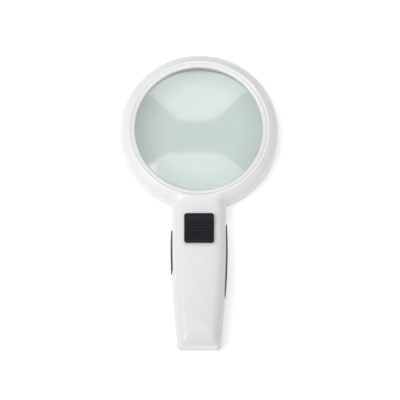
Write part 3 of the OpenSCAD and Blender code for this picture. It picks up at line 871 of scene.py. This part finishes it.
def cell_jacket():
    """Printed shrink sleeve: a copper-coloured end over a dark body, with fine wrinkles."""
    look = Look("cell_jacket", Coat_Weight=0.5, Coat_Roughness=0.15)
    along = look.node("ShaderNodeSeparateXYZ", {"Vector": look.place}).outputs["Y"]
    low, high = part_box("cell_left")
    dark_share, blur = 0.7, 0.0001
    line = low[1] + dark_share * (high[1] - low[1])
    band = look.spread(along, line - blur, line + blur)
    body = look.mix(look.noise(5, 3.0), rgb(0.02, 0.021, 0.024), rgb(0.035, 0.036, 0.04))
    copper = look.mix(look.noise(3, 4.0), rgb(0.55, 0.29, 0.1), rgb(0.66, 0.37, 0.15))
    look.colour(look.mix(band, body, copper))
    look.tree.links.new(look.times(band, 0.8), look.shader.inputs["Metallic"])
    look.roughness(look.spread(look.noise(2.0, 4.0), 0.3, 0.7, 0.22, 0.36))
    look.relief(look.noise(3.0, 3.0, stretch=(1, 0.3, 1)), 0.03)
    return look.material


def steel(name, tone, grain):
    """Bright sheet or wire steel with fine drawn lines and faint tarnish."""
    look = Look(name, Metallic=1.0)
    patch = look.noise(2.5, 4.0)
    look.colour(look.mix(patch, rgb(tone, tone, tone), rgb(tone * 0.8, tone * 0.79, tone * 0.76)))
    look.roughness(look.spread(look.noise(1.0, 4.0), 0.3, 0.7, 0.2, 0.38))
    look.relief(look.noise(0.5, 3.0, stretch=(1, 8, 1)), grain)
    return look.material


LOOKS = {
    "white_shell": white_shell(),
    "white_bezel": white_bezel(),
    "lens_glass": lens_glass("lens_glass", True),
    "lens_glass_back": lens_glass("lens_glass_back", False),
    "gasket_rubber": gasket_rubber(),
    "circuit_board": circuit_board(),
    "led_resin": led_resin(),
    "black_resin": black_resin(),
    "ferrite": ferrite(),
    "knob_plastic": knob_plastic(),
    "black_button": black_button(),
    "grip_rubber": grip_rubber(),
    "wire_red": wire("wire_red", rgb(0.42, 0.012, 0.01), rgb(0.5, 0.03, 0.02)),
    "wire_black": wire("wire_black", rgb(0.012, 0.012, 0.013), rgb(0.025, 0.025, 0.026)),
    "cell_jacket": cell_jacket(),
    "contact_steel": steel("contact_steel", 0.72, 0.004),
    "screw_steel": steel("screw_steel", 0.55, 0.008),
}

# ---------- building ----------


def finish_cad_nodes():
    """Gives every CAD node the look of its material slot."""
    for part in frame["record"]["subparts"]:
        node = frame["nodes"][part["node"]]
        node.data.materials.clear()
        node.data.materials.append(LOOKS[part["material_slot"]])


finish_cad_nodes()
front_housing()
bezel()
lens()
thumb_pad()
grip(-1, "grip_left", 1.0)
grip(1, "grip_right", 1.6)


# ---------- floor, light and camera ----------

# The floor is in millimetres, the camera and the lights are in metres.

CAMERA_ELEVATION = math.radians(74.5)
CAMERA_AIM = Vector((0.0007, 0.0036, 0.0))
CAMERA_DISTANCE = 2.8
CAMERA_LENS = 335.4

FLOOR_HALF = 4000.0
FLOOR_GAP = 0.2
FLOOR_GLOW = 0.35

WORLD_BRIGHT_SIDE = (-0.424, -0.879, 0.221)
WORLD_DIM = 0.164
WORLD_BRIGHT = 0.793

KEY_DIRECTION = Vector((-0.6, -0.2, 1.1)).normalized()
KEY_DISTANCE = 1.9
KEY_RADIANCE = 3.7
PANEL_AXIS = Vector((-0.017, 0.2334, 0.9722)).normalized()
PANEL_NEAR_END = 0.45
PANEL_FAR_END = 2.23
PANEL_OFFSET = 0.22
PANEL_SHIFT = 0.04
PANEL_FAR_W = 0.43
PANEL_NEAR_W = 0.70
PANEL_RADIANCE = 2.6


def make_floor():
    """A wide pale floor that glows a little, so that it stays white under the soft light."""
    shape = Shape()
    corners = [(-1, -1), (1, -1), (1, 1), (-1, 1)]
    shape.face(shape.row([(FLOOR_HALF * x, FLOOR_HALF * y, -FLOOR_GAP) for x, y in corners]))
    mesh = bpy.data.meshes.new("floor")
    mesh.from_pydata((np.array(shape.points) * MM).tolist(), [], shape.faces)
    look = Look("floor_white", Roughness=0.9, Specular_IOR_Level=0.0)
    look.colour(look.mix(look.noise(400, 2.0), rgb(0.80, 0.80, 0.80), rgb(0.82, 0.82, 0.82)))
    look.shader.inputs["Emission Color"].default_value = rgb(1, 1, 1)
    look.shader.inputs["Emission Strength"].default_value = FLOOR_GLOW
    mesh.materials.append(look.material)
    floor = bpy.data.objects.new("floor", mesh)
    bpy.context.scene.collection.objects.link(floor)


def make_world():
    """A surround that is white to the camera and lights most from the handle's end and the left."""
    world = bpy.data.worlds.new("studio")
    bpy.context.scene.world = world
    world.use_nodes = True
    tree = world.node_tree
    back = tree.nodes["Background"]
    direction = tree.nodes.new("ShaderNodeTexCoord").outputs["Generated"]
    facing = tree.nodes.new("ShaderNodeVectorMath")
    facing.operation = "DOT_PRODUCT"
    facing.inputs[1].default_value = WORLD_BRIGHT_SIDE
    tree.links.new(direction, facing.inputs[0])
    strength = tree.nodes.new("ShaderNodeMapRange")
    strength.inputs["From Min"].default_value = -1
    strength.inputs["To Min"].default_value = WORLD_DIM
    strength.inputs["To Max"].default_value = WORLD_BRIGHT
    tree.links.new(facing.outputs["Value"], strength.inputs["Value"])
    seen = tree.nodes.new("ShaderNodeLightPath").outputs["Is Camera Ray"]
    choose = tree.nodes.new("ShaderNodeMix")
    tree.links.new(seen, choose.inputs["Factor"])
    tree.links.new(strength.outputs["Result"], choose.inputs["A"])
    choose.inputs["B"].default_value = 1.0
    tree.links.new(choose.outputs["Result"], back.inputs["Strength"])
    back.inputs["Color"].default_value = rgb(1, 1, 1)


def panel(name, centre, facing, up, size, radiance):
    """A soft rectangular light of a given brightness, which the camera doesn't see."""
    light = bpy.data.lights.new(name, "AREA")
    light.shape = "RECTANGLE"
    light.size, light.size_y = size
    light.energy = radiance * math.pi * size[0] * size[1]
    lamp = bpy.data.objects.new(name, light)
    z = -Vector(facing).normalized()
    x = Vector(up).cross(z).normalized()
    y = z.cross(x)
    lamp.matrix_world = Matrix.LocRotScale(Vector(centre), Matrix((x, y, z)).transposed(), None)
    lamp.visible_camera = False
    bpy.context.scene.collection.objects.link(lamp)


def make_camera():
    data = bpy.data.cameras.new("camera")
    data.lens = CAMERA_LENS
    data.sensor_width = 36.0
    data.clip_start = 0.01
    data.clip_end = 50.0
    camera = bpy.data.objects.new("camera", data)
    away = Vector((0, -math.cos(CAMERA_ELEVATION), math.sin(CAMERA_ELEVATION)))
    camera.location = CAMERA_AIM + away * CAMERA_DISTANCE
    camera.rotation_euler = (math.pi / 2 - CAMERA_ELEVATION, 0, 0)
    bpy.context.scene.collection.objects.link(camera)
    bpy.context.scene.camera = camera


def make_lights():
    """A key from the upper left, and two long overhead panels whose images show in the lens."""
    lens_top = Vector((0, AXIS_Y * MM, lens_high[2] * MM))
    across = Vector((1, 0, 0))
    upward = PANEL_AXIS.cross(across).normalized()
    length = PANEL_FAR_END - PANEL_NEAR_END
    middle = lens_top + PANEL_AXIS * (PANEL_NEAR_END + PANEL_FAR_END) / 2
    far = middle + upward * PANEL_OFFSET
    near = middle - upward * PANEL_OFFSET - across * PANEL_SHIFT
    panel("overhead_far", far, -upward, PANEL_AXIS, (PANEL_FAR_W, length), PANEL_RADIANCE)
    panel("overhead_near", near, upward, PANEL_AXIS, (PANEL_NEAR_W, length), PANEL_RADIANCE)
    key = KEY_DIRECTION * KEY_DISTANCE
    panel("key", key, -KEY_DIRECTION, (0, 1, 0), (1.0, 1.0), KEY_RADIANCE)


make_floor()
make_world()
make_lights()
make_camera()
bpy.context.scene.view_settings.view_transform = "Standard"
